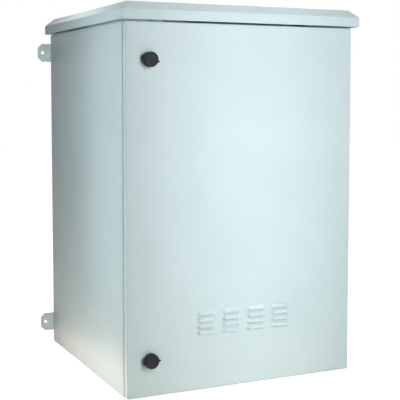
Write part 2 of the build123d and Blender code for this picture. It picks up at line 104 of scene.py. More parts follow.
@dataclass
class Graph:
    """Node tree of one material or world, with short calls to add and join nodes."""

    owner: bpy.types.Material | bpy.types.World

    @classmethod
    def new(cls, owner: bpy.types.Material | bpy.types.World) -> "Graph":
        """Starts an empty node tree.

        Args:
            owner: The new material or world.

        Returns:
            The graph, with no nodes in it.
        """
        owner.use_nodes = True
        owner.node_tree.nodes.clear()
        return cls(owner)

    def add(self, kind: str, **values: object) -> bpy.types.Node:
        """Adds a node.

        Args:
            kind: Blender's name of the node type.
            values: Settings, or inputs where the name is one of the node's sockets with _ for a space.

        Returns:
            The new node.
        """
        node = self.owner.node_tree.nodes.new(kind)
        for key, value in values.items():
            socket = node.inputs.get(key.replace("_", " "))
            if socket is not None:
                socket.default_value = value
            else:
                setattr(node, key, value)
        return node

    def join(self, source: bpy.types.NodeSocket, target: bpy.types.NodeSocket) -> None:
        """Links an output to an input."""
        self.owner.node_tree.links.new(source, target)

    def noise(self, scale: float, detail: float, roughness: float = 0.5) -> bpy.types.Node:
        """Noise on Object coordinates.

        Args:
            scale: Features per metre.
            detail: Octaves.
            roughness: Share of the finer octaves.

        Returns:
            The noise node.
        """
        place = self.add("ShaderNodeTexCoord")
        noise = self.add("ShaderNodeTexNoise", Scale=scale, Detail=detail, Roughness=roughness)
        self.join(place.outputs["Object"], noise.inputs["Vector"])
        return noise

    def cells(self, scale: float) -> bpy.types.Node:
        """Voronoi cells on Object coordinates, scale cells per metre."""
        place = self.add("ShaderNodeTexCoord")
        cells = self.add("ShaderNodeTexVoronoi", Scale=scale)
        self.join(place.outputs["Object"], cells.inputs["Vector"])
        return cells

    def ramp(self, source: bpy.types.NodeSocket, stops: list[tuple[float, tuple]]) -> bpy.types.Node:
        """Colour ramp over a value.

        Args:
            source: Value from 0 to 1.
            stops: Place and linear RGB colour of each stop.

        Returns:
            The ramp node.
        """
        ramp = self.add("ShaderNodeValToRGB")
        elements = ramp.color_ramp.elements
        for index, (place, colour) in enumerate(stops):
            element = elements[index] if index < 2 else elements.new(place)
            element.position = place
            element.color = (*colour, 1.0)
        self.join(source, ramp.inputs["Fac"])
        return ramp

    def gloss(self, shader: bpy.types.Node, source: bpy.types.NodeSocket, low: float, high: float) -> None:
        """Lets the middle part of a noise set a shader's roughness, from low to high."""
        start, end = NOISE_MIDDLE
        span = self.add("ShaderNodeMapRange", From_Min=start, From_Max=end, To_Min=low, To_Max=high)
        self.join(source, span.inputs["Value"])
        self.join(span.outputs["Result"], shader.inputs["Roughness"])

    def relief(self, shader: bpy.types.Node, height: bpy.types.NodeSocket, depth: float) -> None:
        """Gives a shader a bump from a height value, depth metres high."""
        bump = self.add("ShaderNodeBump", Strength=1.0, Distance=depth)
        self.join(height, bump.inputs["Height"])
        self.join(bump.outputs["Normal"], shader.inputs["Normal"])

    def shown(self) -> bpy.types.NodeSocket:
        """Value that is 1 for camera, glossy and transmission rays, and 0 for the rest."""
        path = self.add("ShaderNodeLightPath")
        mirrored = self.add("ShaderNodeMath", operation="MAXIMUM")
        shown = self.add("ShaderNodeMath", operation="MAXIMUM")
        self.join(path.outputs["Is Glossy Ray"], mirrored.inputs[0])
        self.join(path.outputs["Is Transmission Ray"], mirrored.inputs[1])
        self.join(path.outputs["Is Camera Ray"], shown.inputs[0])
        self.join(mirrored.outputs[0], shown.inputs[1])
        return shown.outputs[0]

    def finish(self, shader: bpy.types.Node) -> bpy.types.Material | bpy.types.World:
        """Joins a shader to the output and returns the material or world."""
        kind = "World" if isinstance(self.owner, bpy.types.World) else "Material"
        output = self.add(f"ShaderNodeOutput{kind}")
        self.join(shader.outputs[0], output.inputs["Surface"])
        return self.owner


@dataclass(frozen=True)
class PowderCoat:
    """Satin powder coat on steel: a fine orange-peel relief, faint specks and a slow change of tone."""

    name: str = "satin_powder_coat"
    colour: tuple = (0.61, 0.735, 0.750)
    tone_change: float = 0.025
    roughness: tuple = (0.38, 0.46)
    specular: float = 0.28
    clouds_per_metre: float = 7.0
    specks_per_metre: float = 1900.0
    speck_tone: tuple = (0.93, 0.93, 0.93)
    patches_per_metre: float = 26.0
    peel_per_metre: float = 620.0
    peel_depth: float = 0.00006

    def material(self) -> bpy.types.Material:
        """Builds the coat's material."""
        graph = Graph.new(bpy.data.materials.new(self.name))
        shader = graph.add("ShaderNodeBsdfPrincipled", IOR=1.5, Specular_IOR_Level=self.specular)
        base = np.array(self.colour)
        cloud = graph.noise(self.clouds_per_metre, detail=4.0, roughness=0.6)
        dark = tuple(base * (1.0 - self.tone_change))
        light = tuple(base * (1.0 + self.tone_change))
        tone = graph.ramp(cloud.outputs["Fac"], list(zip(NOISE_MIDDLE, (dark, light))))
        speck = graph.noise(self.specks_per_metre, detail=1.0)
        speck_tone = graph.ramp(speck.outputs["Fac"], [(0.32, self.speck_tone), (0.5, (1.0, 1.0, 1.0))])
        mix = graph.add("ShaderNodeMix", data_type="RGBA", blend_type="MULTIPLY")
        mix.inputs["Factor"].default_value = 1.0
        graph.join(tone.outputs["Color"], mix.inputs["A"])
        graph.join(speck_tone.outputs["Color"], mix.inputs["B"])
        graph.join(mix.outputs["Result"], shader.inputs["Base Color"])
        patch = graph.noise(self.patches_per_metre, detail=3.0)
        graph.gloss(shader, patch.outputs["Fac"], *self.roughness)
        peel = graph.noise(self.peel_per_metre, detail=2.0, roughness=0.4)
        graph.relief(shader, peel.outputs["Fac"], self.peel_depth)
        return graph.finish(shader)


@dataclass(frozen=True)
class ZincPlate:
    """Zinc-plated steel: spangle cells of slightly different tone and gloss."""

    name: str
    dark: tuple
    light: tuple
    cells_per_metre: float
    roughness: tuple
    patches_per_metre: float = 140.0
    relief_depth: float = 0.00002

    def material(self) -> bpy.types.Material:
        """Builds the plating's material."""
        graph = Graph.new(bpy.data.materials.new(self.name))
        shader = graph.add("ShaderNodeBsdfPrincipled", Metallic=1.0)
        cells = graph.cells(self.cells_per_metre)
        grey = graph.add("ShaderNodeRGBToBW")
        graph.join(cells.outputs["Color"], grey.inputs["Color"])
        tone = graph.ramp(grey.outputs["Val"], [(0.2, self.dark), (0.8, self.light)])
        graph.join(tone.outputs["Color"], shader.inputs["Base Color"])
        patch = graph.noise(self.patches_per_metre, detail=4.0)
        graph.gloss(shader, patch.outputs["Fac"], *self.roughness)
        graph.relief(shader, patch.outputs["Fac"], self.relief_depth)
        return graph.finish(shader)


@dataclass(frozen=True)
class MouldedSurface:
    """Moulded plastic, rubber or foam: a grain with relief, and a tone and gloss that vary with it."""

    name: str
    dark: tuple
    light: tuple
    roughness: tuple
    grain_per_metre: float
    grain_depth: float
    cellular: bool = False
    specular: float = 0.5
    clouds_per_metre: float = 45.0

    def material(self) -> bpy.types.Material:
        """Builds the material from noise, or from cells where the surface is cellular."""
        graph = Graph.new(bpy.data.materials.new(self.name))
        shader = graph.add("ShaderNodeBsdfPrincipled", IOR=1.48, Specular_IOR_Level=self.specular)
        cloud = graph.noise(self.clouds_per_metre, detail=5.0, roughness=0.65)
        tone = graph.ramp(cloud.outputs["Fac"], list(zip(NOISE_MIDDLE, (self.dark, self.light))))
        graph.join(tone.outputs["Color"], shader.inputs["Base Color"])
        graph.gloss(shader, cloud.outputs["Fac"], *self.roughness)
        if self.cellular:
            height = graph.cells(self.grain_per_metre).outputs["Distance"]
        else:
            height = graph.noise(self.grain_per_metre, detail=2.0).outputs["Fac"]
        graph.relief(shader, height, self.grain_depth)
        return graph.finish(shader)


@dataclass(frozen=True)
class StudioFloor:
    """Pale floor that keeps the object's shadow and looks white to the camera elsewhere."""

    name: str = "pale_floor"
    colour: tuple = (0.90, 0.865, 0.815)
    lift_near: float = 0.87
    lift_far: float = 1.0
    near: float = 0.55
    far: float = 1.3

    def material(self) -> bpy.types.Material:
        """Builds a diffuse surface, with white added for the rays that show it and more of it far off."""
        graph = Graph.new(bpy.data.materials.new(self.name))
        diffuse = graph.add("ShaderNodeBsdfDiffuse", Color=(*self.colour, 1.0))
        glow = graph.add("ShaderNodeEmission", Color=(1.0, 1.0, 1.0, 1.0))
        place = graph.add("ShaderNodeTexCoord")
        reach = graph.add("ShaderNodeVectorMath", operation="LENGTH")
        graph.join(place.outputs["Object"], reach.inputs[0])
        white = graph.add(
            "ShaderNodeMapRange",
            From_Min=self.near,
            From_Max=self.far,
            To_Min=self.lift_near,
            To_Max=self.lift_far,
        )
        graph.join(reach.outputs["Value"], white.inputs["Value"])
        lift = graph.add("ShaderNodeMath", operation="MULTIPLY")
        graph.join(graph.shown(), lift.inputs[0])
        graph.join(white.outputs["Result"], lift.inputs[1])
        graph.join(lift.outputs[0], glow.inputs["Strength"])
        both = graph.add("ShaderNodeAddShader")
        graph.join(diffuse.outputs[0], both.inputs[0])
        graph.join(glow.outputs[0], both.inputs[1])
        return graph.finish(both)


@dataclass
class Finishes:
    """All the finishes of the cabinet, one material per slot, and one more for the filter mat."""

    by_slot: dict[Slot, bpy.types.Material] = field(default_factory=dict)
    filter_fibre: bpy.types.Material | None = None

    @classmethod
    def build(cls) -> "Finishes":
        """Builds every material once."""
        zinc_sheet = ZincPlate("zinc_sheet", (0.34, 0.355, 0.37), (0.45, 0.465, 0.475), 130.0, (0.42, 0.56))
        zinc_part = ZincPlate("zinc_fastener", (0.40, 0.41, 0.425), (0.50, 0.51, 0.52), 420.0, (0.28, 0.40))
        lock_metal = ZincPlate(
            "lock_die_casting", (0.33, 0.325, 0.315), (0.40, 0.395, 0.385), 300.0, (0.32, 0.44)
        )
        plastic = MouldedSurface(
            "black_lock_plastic",
            dark=(0.011, 0.014, 0.015),
            light=(0.019, 0.023, 0.024),
            roughness=(0.46, 0.60),
            grain_per_metre=2600.0,
            grain_depth=0.00005,
            specular=0.2,
        )
        rubber = MouldedSurface(
            "black_seal_rubber", (0.016, 0.016, 0.017), (0.028, 0.028, 0.029), (0.62, 0.78), 1500.0, 0.00006
        )
        foam = MouldedSurface(
            "grey_foam", (0.045, 0.046, 0.048), (0.085, 0.086, 0.088), (0.86, 0.96), 700.0, 0.0006, True
        )
        fibre = MouldedSurface(
            "filter_fibre", (0.52, 0.53, 0.53), (0.70, 0.71, 0.71), (0.8, 0.95), 900.0, 0.0005
        )
        return cls(
            {
                Slot.PAINT: PowderCoat().material(),
                Slot.ZINC_SHEET: zinc_sheet.material(),
                Slot.ZINC_FASTENER: zinc_part.material(),
                Slot.PLASTIC: plastic.material(),
                Slot.LOCK_METAL: lock_metal.material(),
                Slot.RUBBER: rubber.material(),
                Slot.FOAM: foam.material(),
            },
            fibre.material(),
        )

    def dress(
        self,
        piece: bpy.types.Object,
        body: Body,
        slot: Slot,
        *stands_for: str,
        material: bpy.types.Material | None = None,
    ) -> None:
        """Gives a piece its slot's material or the one given, puts it on its body and hides the CAD nodes
        that it stands for.

        Args:
            piece: The finished piece.
            body: Body that it rides on.
            slot: Material slot of the record.
            stands_for: CAD nodes that it replaces.
            material: Material of its faces, where it isn't the slot's own.
        """
        piece.data.materials.append(self.by_slot[slot] if material is None else material)
        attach(piece, body.value)
        if stands_for:
            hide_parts(*stands_for)
        LOG.info("piece %s rides on %s", piece.name, body.value)


# Surfaces


@dataclass
class Loop:
    """Closed path round a rounded rectangle, counter-clockwise.

    A point is (along_a * half_a + offset * out_a, along_b * half_b + offset * out_b): the corners of the
    straight-sided rectangle plus an offset along the outward direction, which turns at the corners.
    """

    along_a: np.ndarray
    along_b: np.ndarray
    out_a: np.ndarray
    out_b: np.ndarray

    @classmethod
    def of(cls, steps: int, side_a: np.ndarray | None = None, side_b: np.ndarray | None = None) -> "Loop":
        """Makes a loop.

        Args:
            steps: Parts of each quarter turn at a corner.
            side_a: Places from -1 to 1 along the two sides that run along the first axis.
            side_b: Places from -1 to 1 along the two sides that run along the second axis.

        Returns:
            The loop, starting at the beginning of the low side along the first axis.
        """
        side_a = np.array([-1.0, 1.0]) if side_a is None else side_a
        side_b = np.array([-1.0, 1.0]) if side_b is None else side_b
        quarter = np.linspace(0.0, np.pi / 2, steps + 1)[1:-1]
        along_a, along_b, turns = [], [], []
        sides = ((side_a, -1.0), (1.0, side_b), (side_a[::-1], 1.0), (-1.0, side_b[::-1]))
        corners = ((1.0, -1.0), (1.0, 1.0), (-1.0, 1.0), (-1.0, -1.0))
        for index, ((a, b), (corner_a, corner_b)) in enumerate(zip(sides, corners)):
            count = len(a) if isinstance(a, np.ndarray) else len(b)
            facing = (index - 1) * np.pi / 2
            along_a += [np.broadcast_to(a, count), np.full(len(quarter), corner_a)]
            along_b += [np.broadcast_to(b, count), np.full(len(quarter), corner_b)]
            turns += [np.full(count, facing), facing + quarter]
        turn = np.concatenate(turns)
        return cls(np.concatenate(along_a), np.concatenate(along_b), np.cos(turn), np.sin(turn))

    def points(self, half_a: np.ndarray, half_b: np.ndarray, offset: np.ndarray) -> np.ndarray:
        """Rings of points.

        Args:
            half_a: Half sizes along the first axis, one per ring.
            half_b: Half sizes along the second axis, one per ring.
            offset: Outward offsets, one per ring.

        Returns:
            Array of rings, points and two coordinates.
        """
        per_ring = np.broadcast_arrays(half_a, half_b, offset)
        half_a, half_b, offset = (np.atleast_1d(value)[:, None] for value in per_ring)
        first = self.along_a * half_a + offset * self.out_a
        second = self.along_b * half_b + offset * self.out_b
        return np.stack([first, second], axis=-1)


def rounded_profile(corners: list[tuple[float, float]], radius: float, steps: int) -> np.ndarray:
    """Open line through corners, with each inner corner replaced by a curve tangent to both its sides.

    The curve is a quadratic one: (1-t)^2 of the point before the corner, 2t(1-t) of the corner and t^2 of
    the point after it, where both points lie at the radius times the tangent of half the turn.

    Args:
        corners: The line's corners.
        radius: Radius of the folds.
        steps: Parts of each curve.

    Returns:
        Array of points with two coordinates.
    """
    line = np.array(corners, float)
    t = np.linspace(0.0, 1.0, steps + 1)[:, None]
    rows = [line[:1]]
    for before, here, after in zip(line, line[1:], line[2:]):
        back = (before - here) / np.linalg.norm(before - here)
        onward = (after - here) / np.linalg.norm(after - here)
        turn = np.pi - np.arccos(np.clip(back @ onward, -1.0, 1.0))
        reach = radius * np.tan(turn / 2)
        start, end = here + back * reach, here + onward * reach
        rows.append((1 - t) ** 2 * start + 2 * t * (1 - t) * here + t**2 * end)
    rows.append(line[-1:])
    return np.concatenate(rows)


@dataclass
class Shell:
    """Points and faces gathered for one mesh."""

    points: list[np.ndarray] = field(default_factory=list)
    quads: list[np.ndarray] = field(default_factory=list)
    caps: list[np.ndarray] = field(default_factory=list)
    count: int = 0

    def grid(
        self,
        surface: np.ndarray,
        round_rows: bool = False,
        round_columns: bool = False,
        flip: bool = False,
        keep: np.ndarray | None = None,
    ) -> np.ndarray:
        """Adds a surface given on a grid of two parameters.

        Args:
            surface: Array of rows, columns and three coordinates.
            round_rows: Whether the last row joins the first.
            round_columns: Whether the last column joins the first.
            flip: Whether the faces turn the other way.
            keep: Mask of the cells to keep, rows by columns.

        Returns:
            The point numbers, rows by columns.
        """
        rows, columns = surface.shape[:2]
        numbers = self.count + np.arange(rows * columns).reshape(rows, columns)
        self.points.append(surface.reshape(-1, 3))
        self.count += rows * columns
        i = np.arange(rows if round_rows else rows - 1)[:, None]
        j = np.arange(columns if round_columns else columns - 1)[None, :]
        up, right = (i + 1) % rows, (j + 1) % columns
        cells = np.stack([numbers[i, j], numbers[i, right], numbers[up, right], numbers[up, j]], axis=-1)
        cells = cells[keep] if keep is not None else cells.reshape(-1, 4)
        self.quads.append(cells[:, ::-1] if flip else cells)
        return numbers

    def cap(self, ring: np.ndarray, flip: bool = False) -> None:
        """Closes a ring of point numbers with one flat face."""
        self.caps.append(ring[::-1] if flip else ring)

    def closed(self, rings: np.ndarray, flip: bool = False) -> None:
        """Adds a tube of rings with both ends closed.

        Args:
            rings: Array of rings, points and three coordinates, counter-clockwise round the way they go.
            flip: Whether the faces turn the other way.
        """
        numbers = self.grid(rings, round_columns=True, flip=flip)
        self.cap(numbers[0], not flip)
        self.cap(numbers[-1], flip)

    def object(self, name: str, sharp_degrees: float = 40.0) -> bpy.types.Object:
        """Welds coincident points and makes a smooth-shaded object with sharp edges kept.

        Args:
            name: Name of the object and its mesh.
            sharp_degrees: Angle above which an edge stays sharp.

        Returns:
            The object, linked to the scene.
        """
        points = np.concatenate(self.points)
        _, first, inverse = np.unique(np.round(points, 7), axis=0, return_index=True, return_inverse=True)
        inverse = inverse.reshape(-1)
        quads = inverse[np.concatenate(self.quads)]
        doubled = quads == np.roll(quads, -1, axis=1)
        times = doubled.sum(axis=1)
        threes = quads[times == 1][~doubled[times == 1]].reshape(-1, 3)
        faces = quads[times == 0].tolist() + threes.tolist() + [inverse[cap].tolist() for cap in self.caps]
        mesh = bpy.data.meshes.new(name)
        mesh.from_pydata(points[first], [], faces)
        mesh.validate()
        mesh.polygons.foreach_set("use_smooth", np.ones(len(mesh.polygons), bool))
        mesh.set_sharp_from_angle(angle=math.radians(sharp_degrees))
        mesh.update()
        piece = bpy.data.objects.new(name, mesh)
        bpy.context.scene.collection.objects.link(piece)
        return piece


@dataclass(frozen=True)
class Place:
    """Local axes a, b and n of a piece, and its local origin."""

    origin: tuple
    a: tuple
    b: tuple
    n: tuple

    def put(self, flat: np.ndarray, height: np.ndarray | float) -> np.ndarray:
        """Places points.

        Args:
            flat: Array whose last axis holds the coordinates along a and b.
            height: Coordinates along n.

        Returns:
            Array with three coordinates on its last axis.
        """
        height = np.broadcast_to(height, flat.shape[:-1])
        local = np.concatenate([flat, height[..., None]], axis=-1)
        return local @ np.array([self.a, self.b, self.n]) + np.array(self.origin)


def upright(origin: tuple) -> Place:
    """Place with a, b and n along X, Y and Z."""
    return Place(origin, (1, 0, 0), (0, 1, 0), (0, 0, 1))


def inward(origin: tuple) -> Place:
    """Place on the door, with a across it, b upwards and n into the cabinet."""
    return Place(origin, (1, 0, 0), (0, 0, 1), (0, 1, 0))


def thicken(piece: bpy.types.Object, sheet: float) -> None:
    """Gives a surface the thickness of its sheet on the inner side, and keeps its flats flat in shading."""
    solid = piece.modifiers.new("sheet", "SOLIDIFY")
    solid.thickness = sheet
    solid.offset = -1.0
    solid.use_even_offset = True
    solid.use_quality_normals = True
    normals = piece.modifiers.new("normals", "WEIGHTED_NORMAL")
    normals.keep_sharp = True


# Sub-assemblies


@dataclass
class DoorSkin:
    """Door pan: front sheet with sixteen pressed louvres, folded edges and returns on four sides."""

    half_width: float = 0.300
    bottom: float = 0.002
    top: float = 0.8663
    front: float = DOOR_FRONT
    depth: float = 0.019
    fold: float = 0.0019
    sheet: float = 0.0015
    louvre_width: float = 0.048
    louvre_height: float = 0.011
    louvre_depth: float = 0.005
    louvre_end: float = 0.0085
    louvre_pitch: tuple = (0.0665, 0.0153)
    louvre_count: tuple = (4, 4)
    louvre_middle: float = 0.1632
    root_softness: float = 0.0007
    lock_spots: tuple = ((LOCK_X, UPPER_LOCK_Z), (LOCK_X, LOWER_LOCK_Z))
    lock_hole: float = 0.0204
    fine_width_share: float = 0.56
    fine_height_share: float = 1.2
    flat_share: float = 0.03

    def columns(self) -> np.ndarray:
        """Middle of each louvre column."""
        return (np.arange(self.louvre_count[0]) - (self.louvre_count[0] - 1) / 2) * self.louvre_pitch[0]

    def lips(self) -> np.ndarray:
        """Height of each louvre's lower lip."""
        block = (self.louvre_count[1] - 1) * self.louvre_pitch[1] + self.louvre_height
        return self.louvre_middle - block / 2 + np.arange(self.louvre_count[1]) * self.louvre_pitch[1]

    def relief(self, x: np.ndarray, z: np.ndarray, lip: float) -> np.ndarray:
        """How far the sheet stands out above one row of lips.

        Each hood is part of a ball-like form: the square root of R squared less q squared, less R, plus the
        hood's depth. R is the radius of the arc that is upright at the lip and meets the sheet at the
        hood's top. q is the distance from the lip's straight middle part, with the ends stretched to their
        length. Where it meets the sheet, the edge is softened by the mean of the value and its smoothed size.

        Args:
            x: Places across the door.
            z: Heights.
            lip: Height of the row's lips.

        Returns:
            Relief above the door's face, nought away from the louvres.
        """
        arc = (self.louvre_height**2 + self.louvre_depth**2) / (2 * self.louvre_depth)
        span = self.louvre_width / 2 - self.louvre_end
        beyond = np.min(np.abs(x[..., None] - self.columns()), axis=-1) - span
        sideways = np.clip(beyond, 0.0, None) * self.louvre_height / self.louvre_end
        reach = np.hypot(sideways, z - lip)
        form = np.sqrt(np.clip(arc**2 - reach**2, 0.0, None)) - arc + self.louvre_depth
        soft = (form + np.hypot(form, self.root_softness)) / 2
        return np.where(soft < self.flat_share * self.root_softness, 0.0, soft)

    def across(self) -> np.ndarray:
        """Grid places across the door, close together over the louvres and at the lock holes."""
        edge = self.half_width - self.fold
        hood = np.linspace(-self.fine_width_share, self.fine_width_share, 29) * self.louvre_width
        louvres = (self.columns()[:, None] + hood).ravel()
        locks = np.array([x + side * self.lock_hole / 2 for x, _ in self.lock_spots for side in (-1, 1)])
        plain = np.linspace(-edge, edge, 9)
        return np.unique(np.round(np.concatenate([louvres, locks, plain]), 6))

    def bands(self) -> list[np.ndarray]:
        """Heights of the grid rows in the bands below, between and above the lips."""
        low, high = self.bottom + self.fold, self.top - self.fold
        locks = np.array([z + side * self.lock_hole / 2 for _, z in self.lock_spots for side in (-1, 1)])
        marks = [low, *self.lips(), high]
        bands = []
        for start, end in zip(marks, marks[1:]):
            hood = start + np.linspace(0.0, self.fine_height_share, 14) * self.louvre_height
            plain = np.linspace(low, high, 9)
            rows = np.concatenate([[start, end], hood, plain, locks])
            bands.append(np.unique(np.round(rows[(rows >= start - 1e-9) & (rows <= end + 1e-9)], 6)))
        return bands

    def surface(self) -> Shell:
        """Front sheet in bands that part at the louvre lips, and the folded returns round it."""
        shell = Shell()
        x = self.across()
        for index, z in enumerate(self.bands()):
            xs, zs = np.meshgrid(x, z)
            relief = self.relief(xs, zs, z[0]) if index else np.zeros_like(xs)
            middle_x, middle_z = (xs[1:, 1:] + xs[:-1, :-1]) / 2, (zs[1:, 1:] + zs[:-1, :-1]) / 2
            keep = np.ones(middle_x.shape, bool)
            for lock_x, lock_z in self.lock_spots:
                far = np.maximum(np.abs(middle_x - lock_x), np.abs(middle_z - lock_z))
                keep &= far > self.lock_hole / 2
            shell.grid(np.stack([xs, self.front - relief, zs], axis=-1), keep=keep)
        half = self.half_width - self.fold
        tall = (self.top - self.bottom) / 2 - self.fold
        middle = (self.top + self.bottom) / 2
        heights = np.unique(np.concatenate(self.bands()))
        loop = Loop.of(6, x / half, (heights - middle) / tall)
        turn = np.linspace(0.0, np.pi / 2, 7)
        offset = np.append(self.fold * np.sin(turn), self.fold)
        back = np.append(self.fold * (1.0 - np.cos(turn)), self.depth)
        ring = loop.points(half, tall, offset)
        place = inward((0, self.front, middle))
        shell.grid(place.put(ring, back[:, None]), round_columns=True, flip=True)
        return shell

    def build(self, finishes: Finishes) -> None:
        """Makes the door's visible shell."""
        piece = self.surface().object("door_skin", SHEET_SHARP_DEGREES)
        thicken(piece, self.sheet)
        finishes.dress(piece, Body.DOOR, Slot.PAINT, "door_panel")


@dataclass
class RainHood:
    """Roof hood: fascia, four slopes and a flat top, folded from one sheet."""

    half_width: float = 0.315
    front: float = -0.3275
    back: float = 0.2905
    bottom: float = 0.8693
    fascia: float = 0.0228
    rise: float = 0.0189
    inset: float = 0.0202
    fold: float = 0.0025
    sheet: float = 0.0015

    def build(self, finishes: Finishes) -> None:
        """Carries the fold profile round the hood, as inset and height, then closes the top."""
        top = self.fascia + self.rise
        profile = rounded_profile(
            [(0.0, 0.0), (0.0, self.fascia), (self.inset, top), (self.inset * 3, top)], self.fold, 6
        )
        half_depth = (self.back - self.front) / 2
        loop = Loop.of(5, np.linspace(-1.0, 1.0, 9), np.linspace(-1.0, 1.0, 9))
        inset = profile[:, 0]
        rings = loop.points(self.half_width - self.fold - inset, half_depth - self.fold - inset, self.fold)
        place = upright((0, (self.front + self.back) / 2, self.bottom))
        shell = Shell()
        numbers = shell.grid(place.put(rings, profile[:, 1:]), round_columns=True)
        shell.cap(numbers[-1])
        piece = shell.object("hood_shell", SHEET_SHARP_DEGREES)
        thicken(piece, self.sheet)
        finishes.dress(piece, Body.CABINET, Slot.PAINT, "roof_hood")


@dataclass
class Seals:
    """Door gasket, cable entry seal, foam strips at the cable gap and the filter mat."""

    door_inside: float = -0.311
    gasket_half: tuple = (0.26925, 0.40275)
    gasket_middle: float = 0.4335
    gasket_width: float = 0.008
    gasket_height: float = 0.0102
    shoulder_share: float = 0.45
    seal_corner: float = 0.0045
    entry_width: float = 0.008
    foam_thickness: float = 0.014
    foam_corner: float = 0.0025
    foam_crown: float = 0.0012
    foam_push_share: float = 0.6
    mat_corner: float = 0.003
    mat_crown: float = 0.0008
    mat_clearance: float = 0.0003

    def ring(
        self, name: str, place: Place, half: tuple, width: float, height: float, corner: float
    ) -> bpy.types.Object:
        """Strip with a domed crown, carried round a rounded rectangle.

        The crown is half an ellipse on a straight shoulder: its height follows the square root of 1 less
        the square of the place across the strip, and the foot is flat.

        Args:
            name: Name of the piece.
            place: Local axes, with n away from the seat.
            half: Half sizes of the strip's middle line.
            width: Width of the strip.
            height: Height of the crown.
            corner: Radius of the middle line's corners.

        Returns:
            The piece.
        """
        turn = np.linspace(np.pi, 0.0, 13)
        across = np.append(np.cos(turn), [1.0, -1.0]) * width / 2
        crown = self.shoulder_share + (1.0 - self.shoulder_share) * np.sin(turn)
        up = np.append(crown, [0.0, 0.0]) * height
        loop = Loop.of(6)
        rings = loop.points(half[0] - corner, half[1] - corner, corner + across)
        shell = Shell()
        shell.grid(place.put(rings, up[:, None]), round_rows=True, round_columns=True, flip=True)
        return shell.object(name)

    def pad(
        self, name: str, low: tuple, high: tuple, corner: float, crown: float, push: float
    ) -> bpy.types.Object:
        """Soft block with rounded edges and sides that swell between its ends.

        Each level is a rounded rectangle drawn in at the top and bottom by a quarter circle, and its sides
        swell with the sine of the height.

        Args:
            name: Name of the piece.
            low: Lowest corner.
            high: Highest corner.
            corner: Radius of its edges.
            crown: How far the sides are drawn in at the ends.
            push: Share of the swelling along X.

        Returns:
            The piece.
        """
        low_corner, high_corner = np.array(low), np.array(high)
        half = (high_corner - low_corner) / 2
        quarter = np.linspace(0.0, np.pi / 2, 6)
        flat = np.linspace(corner, 2 * half[2] - corner, 11)[1:-1]
        rise, draw = corner * (1 - np.cos(quarter)), corner * (1 - np.sin(quarter))
        height = np.concatenate([rise, flat, 2 * half[2] - rise[::-1]])
        drawn = np.concatenate([draw, np.zeros(len(flat)), draw[::-1]])
        swell = crown * (1.0 - np.sin(np.pi * height / (2 * half[2])))
        loop = Loop.of(5, np.linspace(-1.0, 1.0, 25), np.linspace(-1.0, 1.0, 5))
        rings = loop.points(half[0] - corner - push * swell, half[1] - corner - swell, corner - drawn)
        middle = (low_corner + high_corner) / 2
        place = upright((middle[0], middle[1], low_corner[2]))
        shell = Shell()
        shell.closed(place.put(rings, height[:, None]))
        return shell.object(name)

    def build(self, finishes: Finishes) -> None:
        """Makes the seals, the foam strips and the filter mat, each in its CAD node's place."""
        inner = inward((0, self.door_inside, self.gasket_middle))
        gasket = self.ring(
            "door_seal", inner, self.gasket_half, self.gasket_width, self.gasket_height, self.seal_corner
        )
        finishes.dress(gasket, Body.DOOR, Slot.RUBBER, "door_gasket")
        low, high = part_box("gland_seal")
        middle, half = (low + high) / 2, (high - low) / 2
        under = Place((middle.x, middle.y, low.z), (-1, 0, 0), (0, 1, 0), (0, 0, 1))
        line = (half.x - self.entry_width / 2, half.y - self.entry_width / 2)
        entry = self.ring("entry_seal", under, line, self.entry_width, high.z - low.z, self.seal_corner)
        finishes.dress(entry, Body.CABINET, Slot.RUBBER, "gland_seal")
        low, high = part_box("gland_foam")
        strip = self.foam_thickness
        for name, start, end in (("front", low.y, low.y + strip), ("rear", high.y - strip, high.y)):
            piece = self.pad(
                f"entry_foam_{name}",
                (low.x, start, low.z),
                (high.x, end, high.z),
                self.foam_corner,
                self.foam_crown,
                self.foam_push_share,
            )
            finishes.dress(piece, Body.CABINET, Slot.FOAM, *(["gland_foam"] if name == "front" else []))
        low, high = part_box("filter_mat")
        low = low + Vector((0, self.mat_clearance, 0))
        mat = self.pad("filter_pad", tuple(low), tuple(high), self.mat_corner, self.mat_crown, 1.0)
        finishes.dress(mat, Body.DOOR, Slot.FOAM, "filter_mat", material=finishes.filter_fibre)


